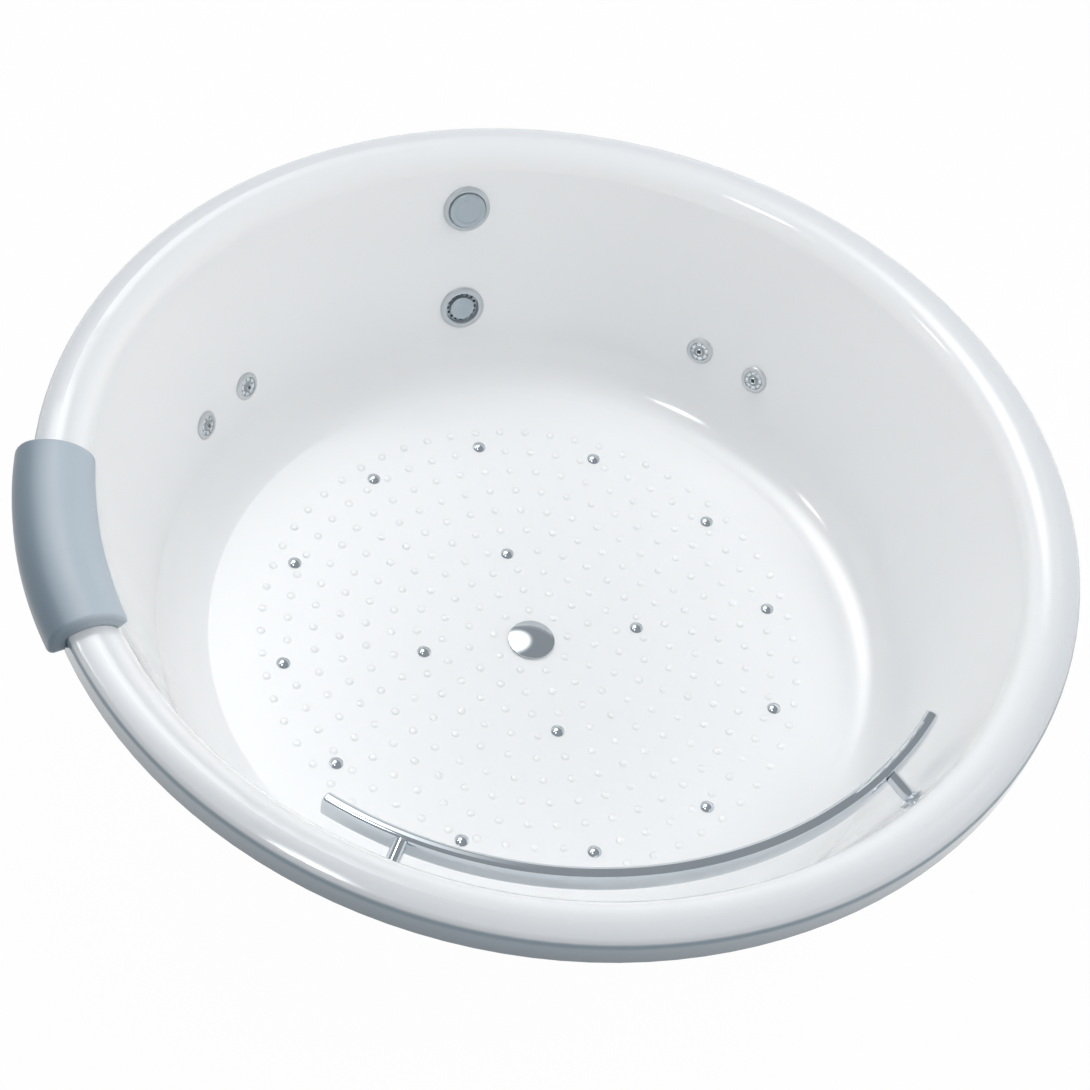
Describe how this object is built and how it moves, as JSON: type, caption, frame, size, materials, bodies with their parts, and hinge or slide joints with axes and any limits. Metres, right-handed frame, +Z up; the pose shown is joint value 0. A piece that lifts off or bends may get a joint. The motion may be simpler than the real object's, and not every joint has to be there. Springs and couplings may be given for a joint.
{
  "type": "jetted bathtub",
  "caption": "Round drop-in jetted bath with water and air jets, pop-up drain, overflow knob, grab bar, headrest, and pump and blower under the rim.",
  "frame": {"origin": "on the ground under the middle of the bath's overall box", "axes": "+Z up out of the bath, +Y towards the overflow, pump and blower, +X to the right of the overflow seen from above with +Y away"},
  "size_m": [1.5178, 1.4998, 0.5878],
  "materials": {
    "acrylic": "polished white moulded acrylic",
    "reinforcement": "sprayed glass fibre backing",
    "board": "raw particle board",
    "frame_steel": "grey painted square tube",
    "foot_rubber": "black moulded foot",
    "zinc_steel": "zinc plated steel",
    "chrome": "mirror chrome",
    "satin_grey": "satin grey plated plastic",
    "jet_grey": "smooth grey plastic",
    "seal_rubber": "black seal rubber",
    "pipe_white": "white plastic pipe",
    "fitting_grey": "grey moulded fitting",
    "machine_black": "black moulded housing",
    "rotor": "moulded rotor",
    "cord_black": "black cable sheath",
    "headrest_foam": "soft blue-grey skinned foam"
  },
  "bodies": {
    "tub": {"acrylic_shell": "acrylic", "reinforcement_shell": "reinforcement", "base_board": "board", "cross_rail_front": "frame_steel", "cross_rail_rear": "frame_steel", "side_rail_left": "frame_steel", "side_rail_right": "frame_steel", "foot_pads": "foot_rubber", "foot_studs": "zinc_steel", "foot_lock_nuts": "zinc_steel", "drain_flange": "chrome", "drain_seal": "seal_rubber", "waste_body": "fitting_grey", "trap_cup": "fitting_grey", "overflow_flange": "satin_grey", "overflow_seal": "seal_rubber", "overflow_body": "fitting_grey", "overflow_pipe": "pipe_white", "release_cable": "cord_black", "suction_flange": "satin_grey", "suction_guard": "satin_grey", "suction_body": "fitting_grey", "suction_pipe": "pipe_white", "jet_flange_1": "satin_grey", "jet_flange_2": "satin_grey", "jet_flange_3": "satin_grey", "jet_flange_4": "satin_grey", "jet_lock_nuts": "fitting_grey", "jet_bodies": "fitting_grey", "water_manifold": "pipe_white", "air_jet_caps": "chrome", "air_jet_bodies": "fitting_grey", "air_ring_outer": "pipe_white", "air_ring_inner": "pipe_white", "air_duct": "pipe_white", "blower_housing": "machine_black", "pump_volute": "machine_black", "pump_motor": "machine_black", "pump_tray": "zinc_steel", "blower_tray": "zinc_steel", "control_box": "machine_black", "control_box_lid": "machine_black", "pump_cord": "cord_black", "blower_cord": "cord_black", "grab_bar": "chrome", "bar_posts": "chrome", "bar_fixing_nuts": "zinc_steel"},
    "overflow_knob": {"overflow_knob": "satin_grey"},
    "drain_cover": {"drain_cover": "chrome"},
    "pump_rotor": {"pump_rotor": "rotor"},
    "blower_rotor": {"blower_rotor": "rotor"},
    "headrest_pad": {"headrest_pad": "headrest_foam"},
    "jet_ring_1": {"jet_ring_1": "jet_grey"},
    "jet_ring_2": {"jet_ring_2": "jet_grey"},
    "jet_ring_3": {"jet_ring_3": "jet_grey"},
    "jet_ring_4": {"jet_ring_4": "jet_grey"},
    "jet_nozzle_1": {"jet_nozzle_1": "jet_grey"},
    "jet_nozzle_2": {"jet_nozzle_2": "jet_grey"},
    "jet_nozzle_3": {"jet_nozzle_3": "jet_grey"},
    "jet_nozzle_4": {"jet_nozzle_4": "jet_grey"}
  },
  "joints": [
    {"name": "knob_turn", "type": "hinge", "parent": "tub", "child": "overflow_knob", "pos_m": [0, 0.65418, 0.473], "axis": [0, -0.9553, 0.2957], "range_deg": [0, 90]},
    {"name": "drain_lift", "type": "slide", "parent": "tub", "child": "drain_cover", "axis": [0, 0, 1], "range_m": [0, 0.01]},
    {"name": "jet_1_turn", "type": "hinge", "parent": "tub", "child": "jet_ring_1", "pos_m": [-0.46232, 0.38246, 0.298], "axis": [0.7361, -0.6089, 0.2957], "range_deg": [-180, 180]},
    {"name": "jet_2_turn", "type": "hinge", "parent": "tub", "child": "jet_ring_2", "pos_m": [-0.38728, 0.45829, 0.298], "axis": [0.6166, -0.7296, 0.2957], "range_deg": [-180, 180]},
    {"name": "jet_3_turn", "type": "hinge", "parent": "tub", "child": "jet_ring_3", "pos_m": [0.46232, 0.38246, 0.298], "axis": [-0.7361, -0.6089, 0.2957], "range_deg": [-180, 180]},
    {"name": "jet_4_turn", "type": "hinge", "parent": "tub", "child": "jet_ring_4", "pos_m": [0.38728, 0.45829, 0.298], "axis": [-0.6166, -0.7296, 0.2957], "range_deg": [-180, 180]},
    {"name": "jet_1_tilt", "type": "hinge", "parent": "jet_ring_1", "child": "jet_nozzle_1", "pos_m": [-0.4671, 0.38642, 0.29608], "axis": [0.6374, 0.7705, 0], "range_deg": [-12, 12]},
    {"name": "jet_2_tilt", "type": "hinge", "parent": "jet_ring_2", "child": "jet_nozzle_2", "pos_m": [-0.39129, 0.46303, 0.29608], "axis": [0.7638, 0.6455, 0], "range_deg": [-12, 12]},
    {"name": "jet_3_tilt", "type": "hinge", "parent": "jet_ring_3", "child": "jet_nozzle_3", "pos_m": [0.4671, 0.38642, 0.29608], "axis": [0.6374, -0.7705, 0], "range_deg": [-12, 12]},
    {"name": "jet_4_tilt", "type": "hinge", "parent": "jet_ring_4", "child": "jet_nozzle_4", "pos_m": [0.39129, 0.46303, 0.29608], "axis": [0.7638, -0.6455, 0], "range_deg": [-12, 12]},
    {"name": "pump_spin", "type": "hinge", "parent": "tub", "child": "pump_rotor", "pos_m": [0.15, 0.56, 0.075], "axis": [1, 0, 0], "continuous": true},
    {"name": "blower_spin", "type": "hinge", "parent": "tub", "child": "blower_rotor", "pos_m": [-0.325, 0.56, 0.018], "axis": [0, 0, 1], "continuous": true},
    {"name": "headrest_lift", "type": "slide", "parent": "tub", "child": "headrest_pad", "axis": [0, 0, 1], "range_m": [0, 0.08]}
  ],
  "couplings": [
    {"joint": "drain_lift", "follows": "knob_turn", "m_per_rad": 0.006366}
  ]
}
